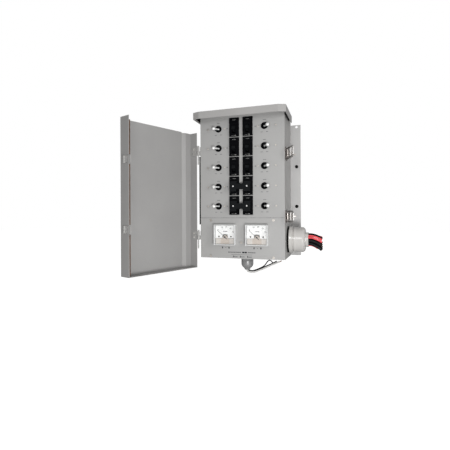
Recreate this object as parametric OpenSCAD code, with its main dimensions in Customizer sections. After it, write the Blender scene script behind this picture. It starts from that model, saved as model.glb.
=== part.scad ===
// Manual transfer switch in a wall-mounted outdoor cabinet, door open.
// Units: mm. Origin: centre of the back (wall) face. +X right, -Y to the front, +Z up.

/* [Cabinet] */
// Width of the cabinet front
cab_w = 212; // [160:1:300]
// Height of the cabinet
cab_h = 360; // [280:1:480]
// Depth from the wall to the front panels
cab_d = 127; // [90:1:180]
// Sheet metal thickness
sheet = 1.5; // [1:0.1:3]
// Width of each wall flange beside the cabinet
flange_w = 26; // [18:1:40]
// Height of the wall flanges
flange_h = 347; // [260:1:460]
// Radius of the wall screw holes
wall_hole_r = 4; // [2.5:0.1:6]
// Vertical distance between wall screw holes
wall_pitch = 106; // [80:1:140]
// Height of the joint between the switch panel and the meter panel
split_z = 101; // [80:1:140]

/* [Hood] */
// Hood overhang in front of the panels
hood_front = 40; // [30:1:60]
// Hood overhang at each side
hood_side = 7.5; // [5:0.5:20]
// Height of the hood's band
hood_band = 17; // [10:1:30]
// Width of the hood band's corner facets
hood_cut = 17; // [8:1:30]
// Set-back of the hood band's corner facets
hood_step = 7; // [2:1:20]
// Hood depth behind the panels
hood_back = 88; // [60:1:120]

/* [Door] */
// Angle at which the door stands open
door_angle = 112; // [0:1:150]
// Height of the door tray
door_h = 350; // [280:1:460]
// Distance of the door's lower edge below the cabinet
door_drop = 26; // [0:1:40]
// Depth of the door tray
door_d = 28; // [20:1:40]
// Width of the door tray
door_w = 219; // [180:1:300]
// Upward travel of the door on its pins
door_lift = 24; // [0:1:30]

/* [Switches and breakers] */
// Distance of the toggle columns from the middle
toggle_x = 58; // [45:1:70]
// Row distance of toggles and breakers
row_pitch = 48.5; // [40:0.5:60]
// Height of the top toggle row
toggle_top = 324; // [280:1:400]
// Height of the top edge of the first breaker
breaker_top = 349; // [300:1:440]
// Tilt of the toggle levers
toggle_tilt = 33; // [10:1:36]
// Radius of the round toggle plates
toggle_r = 8.4; // [6:0.1:12]
// Width of one breaker
breaker_w = 25.4; // [17:0.1:30]
// Distance of the breakers from the middle
breaker_gap = 4.3; // [2:0.1:12]

/* [Meters] */
// Distance of the meters from the middle
meter_x = 40; // [34:1:60]
// Height of the meter centres
meter_z = 59; // [45:1:70]
// Meter width
meter_w = 54; // [40:1:70]
// Meter height
meter_h = 51; // [40:1:70]
// Meter depth in front of the panel
meter_out = 16; // [8:1:30]

/* [Fittings] */
// Depth of the conduit fitting's axis behind the panels
hub_y = 60; // [45:1:80]
// Height of the conduit fitting's axis
hub_z = 46; // [40:0.5:60]
// Radius of the conduit fitting's body
hub_r = 31; // [20:0.5:36]
// Depth of the cord grip's axis behind the panels
grip_y = 60; // [45:1:80]
// Sideways place of the cord grip
grip_x = 1.5; // [-40:0.5:40]
// Height of the upper latch's centre
latch_hi = 256; // [200:1:300]
// Height of the lower latch's centre
latch_lo = 104; // [60:1:160]

/* [Hidden] */
$fn = 48;
e = 0.01;
zb = -cab_h / 2;
yf = -cab_d;
hw = cab_w / 2;
rows = [0, 1, 2, 3, 4];
hood_low = 345;
cell_h = row_pitch - 1.9;
breaker_x = breaker_gap + breaker_w / 2;
hinge_x = -hw - 4.5;
hinge_y = -4.5;
hinge_hi = 271;
hinge_lo = 56.5;
knuckle_r = 3.2;
pin_r = 1.6;
lever_x = hw + 4.6;
lever_y = 12;
bail_u = 7;
bail_open = 158;
keeper_low = 2.5;
switch_pivot = 2.5;
handle_drop = 6.5;
wire_d = 8.2;
red_d = 4.4;
white_d = 4.4;
lead_d = 2.8;

// A cylinder whose axis runs from front to back, starting at y.
module ycyl(r, y, l) {
  translate([0, y, 0]) rotate([-90, 0, 0]) cylinder(r = r, h = l);
}

// A cylinder whose axis runs to the right, starting at x.
module xcyl(r, x, l) {
  translate([x, 0, 0]) rotate([0, 90, 0]) cylinder(r = r, h = l);
}

// A box with its low corner at p.
module box(p, s) {
  translate(p) cube(s);
}

// Everything in front-panel coordinates: y = 0 is the panel face, z = 0 the cabinet's bottom.
module front() {
  translate([0, yf, zb]) children();
}

// ---------- cabinet ----------

module back_plate() {
  color([0.72, 0.72, 0.71])
  difference() {
    union() {
      box([-hw, -sheet, zb], [cab_w, sheet, cab_h]);
      box([-hw - flange_w, -sheet, zb], [cab_w + 2 * flange_w, sheet, flange_h]);
    }
    for (s = [-1, 1]) translate([s * (hw + 15.5), 0, zb]) {
      for (k = [0:2]) translate([0, 0, 24 + k * wall_pitch]) ycyl(wall_hole_r, -5, 10);
      translate([0, 0, 24 + 3 * wall_pitch]) ycyl(wall_hole_r - 0.8, -5, 10);
    }
  }
}

module cabinet_shell() {
  color([0.72, 0.72, 0.71])
  front() difference() {
    box([-hw, sheet, 0], [cab_w, cab_d - 2 * sheet, cab_h]);
    box([-hw + sheet, sheet * 2, sheet], [cab_w - 2 * sheet, cab_d, cab_h - 2 * sheet]);
    box([-hw + 12, -1, 12], [cab_w - 24, 20, cab_h - 21]);
    for (x = [-79, 79]) translate([x, 0, 5]) ycyl(1.7, 0, 6);
    translate([0, hub_y, hub_z]) xcyl(hub_r - 6, hw - 10, 20);
    translate([grip_x, grip_y, -5]) cylinder(r = 10.2, h = 20);
    for (x = [-60, 60]) translate([x, 70, -5]) cylinder(r = 2.6, h = 20);
  }
}

module hood_outline(o) {
  w = hw + hood_side - o;
  f = -hood_front + o;
  c = hood_cut - o * 0.3;
  polygon([[-w, hood_back], [-w, f + hood_step], [-w + c, f], [w - c, f], [w, f + hood_step], [w, hood_back]]);
}

module rain_hood() {
  color([0.74, 0.74, 0.73])
  front() {
    difference() {
      translate([0, 0, hood_low]) linear_extrude(hood_band) hood_outline(0);
      translate([0, 0, hood_low - 1]) linear_extrude(hood_band - sheet + 1) hood_outline(sheet);
      box([-hw - 40, hood_back - 0.1, hood_low - 1], [cab_w + 80, 10, hood_band + 2]);
    }
    for (s = [-1, 1]) box([s * (hw + hood_side / 2 + 0.5) - 3.15, hood_back - 14, hood_low + 2], [6.3, 12, sheet]);
  }
}

module switch_panel() {
  color([0.7, 0.7, 0.69])
  front() difference() {
    box([-hw, 0, split_z + 0.6], [cab_w, sheet, cab_h - split_z - 0.6]);
    for (s = [-1, 1]) for (k = rows) {
      translate([s * toggle_x, 0, toggle_top - k * row_pitch]) ycyl(6.7, -2, 6);
      translate([s * (toggle_x - 16), 0, toggle_top - k * row_pitch]) ycyl(1.6, -2, 6);
      translate([s * (toggle_x + 27.5), 0, toggle_top - k * row_pitch]) ycyl(1.6, -2, 6);
      box([s * breaker_x - breaker_w / 2 + 0.2, -2, breaker_top - k * row_pitch - cell_h],
        [breaker_w - 0.4, 6, cell_h]);
    }
  }
}

module meter_panel() {
  color([0.7, 0.7, 0.69])
  front() difference() {
    box([-hw, 0, 0], [cab_w, sheet, split_z - 0.6]);
    for (s = [-1, 1]) {
      translate([s * meter_x, 0, meter_z - 2]) ycyl(21, -2, 6);
      for (z = [5, 95]) translate([s * 79, 0, z]) ycyl(1.6, -2, 6);
    }
    translate([0, 0, 40]) ycyl(1.6, -2, 6);
  }
}

// Pan-head screw seen from the front, head in front of y = 0.
module pan_screw(r, l) {
  difference() {
    union() {
      ycyl(r, -1.6, 1.6);
      ycyl(r * 0.82, -2.2, 0.7);
    }
    box([-r * 0.62, -3, -0.45], [r * 1.24, 1.4, 0.9]);
    box([-0.45, -3, -r * 0.62], [0.9, 1.4, r * 1.24]);
  }
  ycyl(1.5, -0.5, l + 0.5);
}

module panel_screws() {
  color([0.85, 0.85, 0.83])
  front() {
    for (s = [-1, 1]) for (z = [5, 95]) translate([s * 79, 0, z]) pan_screw(3, 7);
    translate([0, 0, 40]) pan_screw(3, 7);
    for (s = [-1, 1]) translate([s * 90, 40, hood_low + hood_band]) rotate([-90, 0, 0])
      rotate([0, 0, 0]) difference() {
        ycyl(4, -2, 2);
        box([-3, -2.6, -0.5], [6, 1.4, 1]);
      }
  }
}

module switch_screws() {
  color([0.85, 0.85, 0.83])
  front() for (s = [-1, 1]) for (k = rows) translate([0, 0, toggle_top - k * row_pitch]) {
    translate([s * (toggle_x - 16), 0, 0]) pan_screw(1.9, 5);
    translate([s * (toggle_x + 27.5), 0, 0]) pan_screw(1.9, 5);
  }
}

// ---------- toggle switches ----------

module toggle_plates() {
  color([0.06, 0.06, 0.07])
  front() for (s = [-1, 1]) for (k = rows) translate([s * toggle_x, 0, toggle_top - k * row_pitch])
    difference() {
      union() {
        ycyl(toggle_r, -1.5, 1.5);
        ycyl(toggle_r - 0.9, -2.2, 0.8);
      }
      ycyl(6.7, -3, 5);
      }
}

module toggle_bodies() {
  color([0.1, 0.1, 0.11])
  front() for (s = [-1, 1]) for (k = rows) translate([s * toggle_x, 0, toggle_top - k * row_pitch]) {
    difference() {
      union() {
        ycyl(6.6, -2, 4);
        box([-9, sheet, -15], [18, 20, 30]);
        for (x = [-5, 5]) for (z = [-10, 0, 10]) box([x - 1.2, 21, z - 3], [2.4, 9, 6]);
      }
      // Hollow in which the lever turns.
      ycyl(5.8, -3, 17);
      box([-7.5, sheet + 0.8, -5.2], [15, 13.5, 10.4]);
      for (d = [-1, 1]) translate([0, switch_pivot, d * 5.6]) cylinder(r = 1.05, h = 2.4, center = true);
    }
  }
}

// One lever. s is the side, k the row.
module toggle_lever(s, k) {
  color([0.9, 0.9, 0.88])
  front() translate([s * toggle_x, switch_pivot, toggle_top - k * row_pitch])
  rotate([0, 0, s * toggle_tilt]) {
    difference() {
      rotate([90, 0, 0]) cylinder(r1 = 1.6, r2 = 1.9, h = 6);
      box([-5, 2, -5], [10, 10, 10]);
    }
    translate([0, -6, 0]) rotate([90, 0, 0]) cylinder(r1 = 1.9, r2 = 2.9, h = 7);
    translate([0, -13, 0]) rotate([90, 0, 0]) cylinder(r1 = 2.9, r2 = 4.2, h = 4);
    translate([0, -17, 0]) sphere(r = 4.2);
    cylinder(r = 1, h = 13, center = true);
    sphere(r = 2.4);
    translate([0, 1.6, 0]) rotate([-90, 0, 0]) cylinder(r = 1.5, h = 6);
  }
}

module toggle_1() { toggle_lever(-1, 0); }
module toggle_2() { toggle_lever(-1, 1); }
module toggle_3() { toggle_lever(-1, 2); }
module toggle_4() { toggle_lever(-1, 3); }
module toggle_5() { toggle_lever(-1, 4); }
module toggle_6() { toggle_lever(1, 0); }
module toggle_7() { toggle_lever(1, 1); }
module toggle_8() { toggle_lever(1, 2); }
module toggle_9() { toggle_lever(1, 3); }
module toggle_10() { toggle_lever(1, 4); }

// ---------- circuit breakers ----------

// Middle of breaker cell k on side s, on the panel face.
module cell(s, k) {
  front() translate([s * breaker_x, 0, breaker_top - k * row_pitch - cell_h / 2]) children();
}

module breaker_bodies() {
  w = breaker_w - 0.8;
  h = cell_h - 0.6;
  color([0.05, 0.05, 0.06])
  for (s = [-1, 1]) for (k = rows) cell(s, k) difference() {
    union() {
      box([-w / 2, -3, -h / 2], [w, 60, h]);
      box([-8.7, -7, -19], [17.4, 5, 30]);
    }
    // Slot for the handle, and the hollow in which it turns.
    box([-4.6, -8, -handle_drop - 9.5], [9.2, 5, 19]);
    box([-4.6, -4, -handle_drop - 9.5], [9.2, 16, 19]);
    for (d = [-1, 1]) translate([d * 4.6, 5, -handle_drop]) rotate([0, 90, 0]) cylinder(r = 1.05, h = 4, center = true);
    for (z = [-1, 1]) translate([0, 50, z * (h / 2 - 7)]) rotate([-90, 0, 0]) cylinder(r = 3, h = 20);
  }
}

module breaker_bracket() {
  color([0.75, 0.75, 0.74])
  front() difference() {
    box([-34, 57.4, breaker_top - 5 * row_pitch - 6], [68, 2, 5 * row_pitch + 12]);
    for (s = [-1, 1]) for (k = rows) for (z = [-1, 1])
      translate([s * breaker_x, 0, breaker_top - k * row_pitch - cell_h / 2 + z * (cell_h / 2 - 7.3)])
        ycyl(4, 50, 20);
  }
  color([0.75, 0.75, 0.74])
  front() for (z = [breaker_top - 5 * row_pitch - 2, breaker_top + 2]) {
    for (s = [-1, 1]) box([s * 30 - 3, 59.4, z - 3], [6, cab_d - 59.4 - sheet, 6]);
  }
}

// One handle, up = on. It turns about a sideways pin behind the face.
module handle_piece() {
  translate([0, 5, -handle_drop]) {
    rotate([0, 90, 0]) cylinder(r = 4.6, h = 8.6, center = true);
    rotate([0, 90, 0]) cylinder(r = 1, h = 12, center = true);
    rotate([-14, 0, 0]) {
      box([-3.9, -16, -2.9], [7.8, 14, 5.8]);
      box([-4.2, -17, -3.6], [8.4, 3, 7.2]);
    }
  }
}

module breaker_handle(s, k) {
  color([0.04, 0.04, 0.05]) cell(s, k) handle_piece();
}

module handle_1() { breaker_handle(-1, 0); }
module handle_2() { breaker_handle(-1, 1); }
module handle_3() { breaker_handle(-1, 2); }
module handle_4() { breaker_handle(1, 0); }
module handle_5() { breaker_handle(1, 1); }
module handle_6() { breaker_handle(1, 2); }

// Two handles joined by a tie with two upright clips and a bar.
module tied_pair(k) {
  color([0.04, 0.04, 0.05]) {
    for (s = [-1, 1]) cell(s, k) handle_piece();
    cell(0, k) translate([0, 5, -handle_drop]) rotate([-14, 0, 0]) {
      box([-breaker_x - 4.3, -19.8, -7], [2 * breaker_x + 8.6, 2.9, 14]);
      for (s = [-1, 1]) box([s * breaker_x - 8, -19.8, -13], [16, 2.9, 26]);
    }
  }
}

module tied_handles_1() { tied_pair(3); }
module tied_handles_2() { tied_pair(4); }

// ---------- meters ----------

module at_meters() {
  front() for (s = [-1, 1]) translate([s * meter_x, 0, meter_z]) children();
}

module meter_bases() {
  color([0.1, 0.1, 0.1])
  at_meters() {
    box([-meter_w / 2, -3, -meter_h / 2], [meter_w, 3, meter_h]);
    translate([0, 0, -2]) {
      ycyl(20.7, -0.1, 26);
      for (x = [-9, 9]) translate([x, 0, 0]) ycyl(2, 25, 9);
    }
  }
}

module meter_covers() {
  w = meter_w;
  h = meter_h;
  color([0.85, 0.9, 0.92, 0.35])
  at_meters() difference() {
    box([-w / 2, -meter_out, -h / 2], [w, meter_out - 3.1, h]);
    box([-w / 2 + 2, -meter_out + 2, -h / 2 + 2], [w - 4, meter_out, h - 4]);
  }
}

module meter_dials() {
  color([0.95, 0.95, 0.93])
  at_meters() difference() {
    box([-meter_w / 2 + 2.6, -5, -8.5], [meter_w - 5.2, 1.2, meter_h / 2 + 5.5]);
    box([-6.8, -6, -10], [13.6, 4, 11.5]);
  }
}

module meter_bosses() {
  color([0.8, 0.77, 0.7])
  at_meters() {
    box([-meter_w / 2 + 4, -6.5, -meter_h / 2 + 3], [meter_w - 8, 3.4, 13]);
    difference() {
      union() {
        translate([0, 0, -6]) ycyl(6.5, -7, 3.9);
        box([-6.5, -7, -14], [13, 3.9, 8]);
      }
      translate([0, 0, -6]) ycyl(1.05, -9, 4.5);
    }
    for (x = [-15.5, 15.5]) translate([x, 0, -4.6]) ycyl(1.6, -6.4, 1.4);
  }
}

module needle(s) {
  color([0.05, 0.05, 0.05])
  front() translate([s * meter_x, 0, meter_z - 6]) {
    ycyl(1, -9.5, 4.6);
    ycyl(2.2, -10, 2.4);
    rotate([0, -48, 0]) {
      box([-0.4, -9.6, 1.5], [0.8, 0.6, 24]);
      box([-0.8, -9.6, -7], [1.6, 0.6, 6]);
    }
  }
}

module needle_left() { needle(-1); }
module needle_right() { needle(1); }

// ---------- terminal bars inside ----------

module terminal_bars() {
  color([0.8, 0.8, 0.78])
  front() for (s = [-1, 1]) translate([s * 84, 0, 0]) {
    difference() {
      box([-5, 80, 130], [10, 12, 120]);
      for (k = [0:9]) translate([0, 86, 137 + k * 11.8]) xcyl(2.4, -6, 12);
      for (k = [0:9]) translate([0, 0, 137 + k * 11.8]) ycyl(1.6, 79, 7);
    }
    for (z = [134, 246]) translate([0, 0, z - 2]) ycyl(3, 91.9, cab_d - 91.9 - sheet);
  }
}

module bar_screws() {
  color([0.78, 0.74, 0.55])
  front() for (s = [-1, 1]) for (k = [0:9]) translate([s * 84, 80, 137 + k * 11.8]) difference() {
    union() {
      ycyl(3, -2.6, 2.6);
      ycyl(1.5, -0.1, 5);
    }
    box([-2.4, -3.4, -0.5], [4.8, 1.8, 1]);
  }
}

// ---------- conduit fitting and cord grip ----------

module at_hub() {
  front() translate([0, hub_y, hub_z]) children();
}

module hub_gasket() {
  color([0.06, 0.06, 0.06])
  at_hub() difference() {
    xcyl(hub_r + 1.6, hw, 5);
    xcyl(hub_r - 5.9, hw - 1, 7);
  }
}

// Turned profile about the fitting's axis: [radius, distance from the cabinet side].
module hub_turn(p) {
  at_hub() translate([hw, 0, 0]) rotate([0, 90, 0]) rotate_extrude($fn = 96) polygon(p);
}

module hub_body() {
  color([0.8, 0.79, 0.77])
  hub_turn([[hub_r - 11, -11], [hub_r - 6.4, -11], [hub_r - 6.4, 5], [hub_r + 2.5, 5],
    [hub_r + 2.5, 12.5], [hub_r - 1.8, 13.5], [hub_r - 1.8, 15.5], [hub_r + 0.6, 16.6], [hub_r + 0.6, 20],
    [hub_r, 21], [hub_r, 36], [hub_r - 1, 39.4], [hub_r - 3.4, 41.8], [hub_r - 7, 43],
    [18.4, 43], [18.4, 24], [hub_r - 11, 24]]);
}

module hub_bush() {
  color([0.82, 0.81, 0.79])
  hub_turn([[16.6, 25], [18.2, 25], [18.2, 49.6], [17.8, 50.3], [17, 50.3], [16.6, 49.6]]);
}

// Ring with six wrench lugs.
module lock_ring(r_in, r_out, t) {
  difference() {
    union() {
      cylinder(r = r_out, h = t);
      for (a = [0:60:300]) rotate([0, 0, a]) box([r_out - 1, -3, 0], [4, 6, t]);
    }
    translate([0, 0, -1]) cylinder(r = r_in, h = t + 2);
  }
}

module locknuts() {
  color([0.75, 0.75, 0.74]) {
    at_hub() translate([hw - sheet - 5, 0, 0]) rotate([0, 90, 0])
      lock_ring(hub_r - 6.3, hub_r, 4.9);
    front() translate([grip_x, grip_y, sheet + 0.1]) lock_ring(10, 14, 4);
  }
}

module at_grip() {
  front() translate([grip_x, grip_y, 0]) children();
}

module grip_body() {
  color([0.55, 0.55, 0.54])
  at_grip() difference() {
    union() {
      translate([0, 0, -11]) cylinder(r = 16, h = 11, $fn = 6);
      cylinder(r = 10, h = 10);
      translate([0, 0, -19]) cylinder(r = 11, h = 9);
    }
    translate([0, 0, -20]) cylinder(r = 6.5, h = 40);
  }
}

module grip_nut() {
  color([0.6, 0.6, 0.59])
  at_grip() rotate_extrude() polygon([[11.2, -11.3], [15.6, -11.3], [15.6, -20], [14.6, -24],
    [12, -27.5], [8.2, -30.5], [6.6, -34.5], [5.6, -34.5], [5.6, -28], [6.6, -22.5], [11.2, -19.4]]);
}

// ---------- hinges ----------

module hinge_leaves() {
  color([0.7, 0.7, 0.69])
  front() for (z = [hinge_hi, hinge_lo]) translate([0, 0, z]) difference() {
    union() {
      box([-hw - 1.6, 1, -11], [1.6, 20, 22]);
      translate([hinge_x, hinge_y, -11]) cylinder(r = knuckle_r, h = 10.8);
      box([hinge_x, hinge_y, -11], [3.2, 3.2, 10.8]);
      box([-hw - 4.5, -3, -11], [4.5, 1.6, 10.8]);
      box([-hw - 1.6, -3, -11], [1.6, 6, 10.8]);
    }
    translate([hinge_x, hinge_y, -12]) cylinder(r = pin_r + 0.05, h = 13);
  }
}

module hinge_pins() {
  color([0.6, 0.6, 0.6])
  front() for (z = [hinge_hi, hinge_lo]) translate([hinge_x, hinge_y, z]) {
    translate([0, 0, -34]) cylinder(r = pin_r, h = 46);
    translate([0, 0, 12]) cylinder(r = 2.6, h = 1.6);
  }
}

// Door in its closed pose, about the hinge axis, turned to door_angle.
module door_frame() {
  front() translate([hinge_x, hinge_y, 0]) rotate([0, 0, -door_angle]) children();
}

// Tray outline in plan: x from the hinge axis, y to the front is negative.
door_x0 = -1.2;
door_y1 = -5.5;
door_y0 = door_y1 - door_d;
door_x1 = door_x0 + door_w;
door_z0 = -door_drop;
keeper_rows = [latch_hi - door_lift - keeper_low, latch_lo - door_lift - keeper_low];

module tray_plan(o) {
  polygon([[door_x0 + o, door_y1 + o * 20], [door_x0 + o, door_y0 + 5 + o], [door_x0 + 19.5, door_y0 + 5 + o],
    [door_x0 + 29, door_y0 + o], [door_x1 - o, door_y0 + o], [door_x1 - o, door_y1 + o * 20]]);
}

module door_panel() {
  color([0.66, 0.66, 0.66])
  door_frame() {
    difference() {
      translate([0, 0, door_z0]) linear_extrude(door_h) tray_plan(0);
      translate([0, 0, door_z0 + sheet]) linear_extrude(door_h) tray_plan(sheet);
      // The face stops a little below the tops of the side flanges.
      box([door_x0 + sheet, door_y0 - 1, door_z0 + door_h - 3.5], [door_w - 2 * sheet, 10, 10]);
      // The hinge side ends lower, to stay under the hood when the door is lifted.
      box([door_x0 - 1, door_y0 - 1, door_z0 + door_h - 5.5], [30, door_d + 5, 10]);
      for (z = keeper_rows) box([door_x1 - 4, door_y0 + 20, z - 7.5], [8, 6, 15]);
    }
  }
}

module door_leaves() {
  color([0.7, 0.7, 0.69])
  door_frame() for (z = [hinge_hi, hinge_lo]) translate([0, 0, z]) difference() {
    union() {
      cylinder(r = knuckle_r, h = 11);
      box([door_x0 + sheet, door_y1 - 12, 0], [1.5, 13.5, 11]);
      box([door_x0 + sheet, door_y1 - 12, -11], [1.5, 10, 22]);
      box([0, -3.2, 0], [3.2, 2, 11]);
    }
    translate([0, 0, -12]) cylinder(r = pin_r + 0.05, h = 30);
  }
}

module door_screws() {
  color([0.85, 0.85, 0.83])
  door_frame() for (z = [hinge_hi, hinge_lo]) for (d = [-5.5, 5.5])
    translate([door_x0 + sheet + 1.5, door_y1 - 7, z + d]) rotate([0, 0, 90]) difference() {
      union() {
        ycyl(2.2, -1.4, 1.4);
      }
      box([-1.6, -2, -0.35], [3.2, 1.2, 0.7]);
    }
}

// Keeper with a slot, a raised lip that the bail catches, and a tongue past the door's rim.
module door_keepers() {
  color([0.8, 0.8, 0.78])
  door_frame() for (z = keeper_rows) translate([door_x1, door_y0, z]) difference() {
    union() {
      box([0, 9, -8.2], [1.4, 27, 16.4]);
      box([0, 15.2, -8.2], [4.6, 1.4, 16.4]);
    }
    box([-1, 20, -7.5], [4, 6, 15]);
  }
}

// ---------- draw latches ----------

module at_latches() {
  front() for (z = [latch_hi, latch_lo]) translate([0, 0, z]) children();
}

module latch_bases() {
  color([0.8, 0.8, 0.79])
  at_latches() {
    difference() {
      box([hw, 2, -15], [1.4, 36, 30]);
      for (y = [7, 33]) for (z = [-11, 11]) translate([0, y, z]) xcyl(1.5, hw - 1, 4);
    }
    for (y = [7, 33]) for (z = [-11, 11]) translate([0, y, z]) xcyl(2.2, hw + 1.4, 1);
    for (s = [-1, 1]) translate([0, 0, s * 8.95]) {
      box([hw + 1.3, lever_y - 3.4, -0.75], [lever_x - hw - 1.3, 6.8, 1.5]);
      translate([lever_x, lever_y, -0.75]) cylinder(r = 3.4, h = 1.5);
    }
    translate([lever_x, lever_y, -10.4]) cylinder(r = 1.5, h = 20.8);
  }
}

// Lever folded back along the side wall, with a finger lip that bends outward.
module latch_lever(z) {
  color([0.82, 0.82, 0.81])
  front() translate([lever_x, lever_y, z]) difference() {
    union() {
      cylinder(r = 2.7, h = 15, center = true);
      box([-0.8, 1, -7.5], [1.6, 19.4, 15]);
      translate([0, bail_u, 0]) cylinder(r = 2.5, h = 15, center = true);
      translate([0, 20, 0]) rotate([0, 0, -50]) {
        box([-0.8, -0.4, -7.5], [1.6, 12.4, 15]);
        translate([0, 12, 0]) rotate([0, 0, -25]) box([-0.8, -0.4, -1.6], [1.6, 8.4, 3.2]);
      }
    }
    cylinder(r = 1.56, h = 30, center = true);
    for (s = [-1, 1]) translate([0, bail_u, s * 7]) cylinder(r = 1.26, h = 6, center = true);
  }
}

// Stamped bail: two arms, a middle bar and an end bar, outline in length and height.
module bail_plate() {
  rotate([90, 0, 90]) translate([0, 0, -1]) linear_extrude(2) difference() {
    polygon([[-2.2, 12.4], [0, 14], [41, 14], [48, 8.5], [48, -8.5], [41, -14], [0, -14], [-2.2, -12.4]]);
    translate([-4, -11.2]) square([21, 22.4]);
    polygon([[24, 9.5], [39, 9.5], [42, 7], [42, -7], [39, -9.5], [24, -9.5]]);
  }
}

module latch_bail(z) {
  color([0.85, 0.85, 0.84])
  front() translate([lever_x, lever_y + bail_u, z]) rotate([0, 0, -bail_open]) {
    bail_plate();
    for (s = [-1, 1]) {
      translate([0, 0, s * 12.6]) cylinder(r = 2.2, h = 2.6, center = true);
      translate([0, 0, s * 8.9]) cylinder(r = 1.2, h = 7, center = true);
    }
  }
}

module lever_upper() { latch_lever(latch_hi); }
module lever_lower() { latch_lever(latch_lo); }
module bail_upper() { latch_bail(latch_hi); }
module bail_lower() { latch_bail(latch_lo); }

module edge_strip() {
  color([0.1, 0.1, 0.1])
  front() difference() {
    box([-hw - 4.5, 3, 84], [4.5, 6, 174]);
    box([-hw - 3, 2, 83], [1.6, 4, 176]);
  }
}

// ---------- wires ----------

// Points along a smooth line through the route r, n points for each stretch.
function cr(a, b, c, d, t) = 0.5 * ((2 * b) + (c - a) * t + (2 * a - 5 * b + 4 * c - d) * t * t
  + (3 * b - a - 3 * c + d) * t * t * t);
function pt(r, i) = i < 0 ? 2 * r[0] - r[1] : (i >= len(r) ? 2 * r[len(r) - 1] - r[len(r) - 2] : r[i]);
function smooth(r, n) = concat([for (i = [0:len(r) - 2]) for (j = [0:n - 1])
  cr(pt(r, i - 1), r[i], r[i + 1], pt(r, i + 2), j / n)], [r[len(r) - 1]]);
function unit(v) = v / norm(v);
function along(p, i) = unit(p[min(i + 1, len(p) - 1)] - p[max(i - 1, 0)]);
// Sideways direction of a ring, taken from one fixed direction that no route runs along.
function side(t, u) = unit(cross(t, u));

module tube(route, d, n, u, sides = 8) {
  p = smooth(route, n);
  m = len(p);
  ring = [for (i = [0:m - 1]) let (t = along(p, i), a = side(t, u), b = cross(t, a))
    for (k = [0:sides - 1]) p[i] + d / 2 * (cos(360 * k / sides) * a + sin(360 * k / sides) * b)];
  body = [for (i = [0:m - 2]) for (k = [0:sides - 1])
    [i * sides + k, i * sides + (k + 1) % sides, (i + 1) * sides + (k + 1) % sides, (i + 1) * sides + k]];
  first = [[for (k = [0:sides - 1]) sides - 1 - k]];
  last = [[for (k = [0:sides - 1]) (m - 1) * sides + k]];
  polyhedron(points = ring, faces = concat(body, first, last), convexity = 6);
}

// Routes, in this part's own frame.
black_1 = [[134, -65, -122], [157, -65, -122], [165, -65, -122.5], [173, -65, -124.5], [181, -65, -128],
  [188, -65, -132]];
black_2 = [[134, -75, -135.5], [157, -75, -135.5], [165, -75, -136.5], [173, -75, -139], [181, -75, -143],
  [188, -75, -148]];
black_3 = [[134, -65.5, -131.5], [157, -65.5, -131.5], [165, -65.5, -132], [173, -65.5, -134.5],
  [181, -65.5, -138], [188, -65.5, -142.5]];
black_4 = [[134, -72, -143.5], [157, -72, -143.5], [165, -72, -144.5], [173, -72, -148], [181, -72, -152.5],
  [188, -72, -158]];
black_5 = [[134, -62, -140.5], [157, -62, -140.5], [165, -62, -141.5], [173, -62, -144], [181, -62, -149],
  [188, -62, -154]];
red_1 = [[134, -72.5, -124], [157, -72.5, -124], [165, -72.5, -124.5], [173, -72.5, -126.5],
  [181, -72.5, -130], [188, -72.5, -134]];
red_2 = [[134, -76, -128.5], [157, -76, -128.5], [165, -76, -129], [173, -76, -131.5], [181, -76, -135],
  [188, -76, -139.5]];
red_3 = [[134, -57.5, -126.5], [157, -57.5, -126.5], [165, -57.5, -126], [173, -57.5, -126],
  [181, -57.5, -126.5], [188, -57.5, -128]];
red_4 = [[134, -66, -147.5], [157, -66, -147.5], [163, -66, -148], [168, -66, -149.5], [173, -66, -152],
  [178, -66, -155.5]];
white_route = [[1.5, -69.5, -208], [1.5, -69.5, -215.5], [5, -70, -219], [13, -70.5, -220],
  [24, -71, -218.5], [40, -71, -212], [56, -71, -204.5], [71, -71, -197], [86, -71, -190.5]];
hook_route = [[3.5, -65.5, -208], [3.5, -65.5, -214.5], [8, -65, -217], [16, -65, -217], [25, -65, -214],
  [34, -65.5, -210], [43, -65.5, -205], [49, -66, -199], [54, -66.5, -192], [59, -67, -188.5],
  [64, -67, -190.5], [68, -67, -196]];
back_route = [[-1, -65.5, -208], [-1, -65.5, -214.5], [1, -63.5, -218], [6, -62, -219.5],
  [14, -61.5, -219], [26, -61.5, -215], [40, -61.5, -209], [54, -62.5, -202.5], [66, -63.5, -196.5],
  [77, -64.5, -190.5]];
out = [0.1, 1, 0.2];

module wire_black() {
  color([0.04, 0.04, 0.05])
  for (r = [black_1, black_2, black_3, black_4, black_5]) tube(r, wire_d, 1, out, 12);
}

module wire_red_upper() {
  color([0.85, 0.15, 0.2]) for (r = [red_1, red_2, red_3]) tube(r, red_d, 1, out, 10);
}

module wire_red_lower() {
  color([0.85, 0.15, 0.2]) tube(red_4, red_d, 1, out, 10);
}

module lead_white() {
  color([0.9, 0.9, 0.88]) tube(white_route, white_d, 1, out, 10);
}

module lead_black() {
  color([0.04, 0.04, 0.05]) for (r = [hook_route, back_route]) tube(r, lead_d, 1, out, 8);
}

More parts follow.
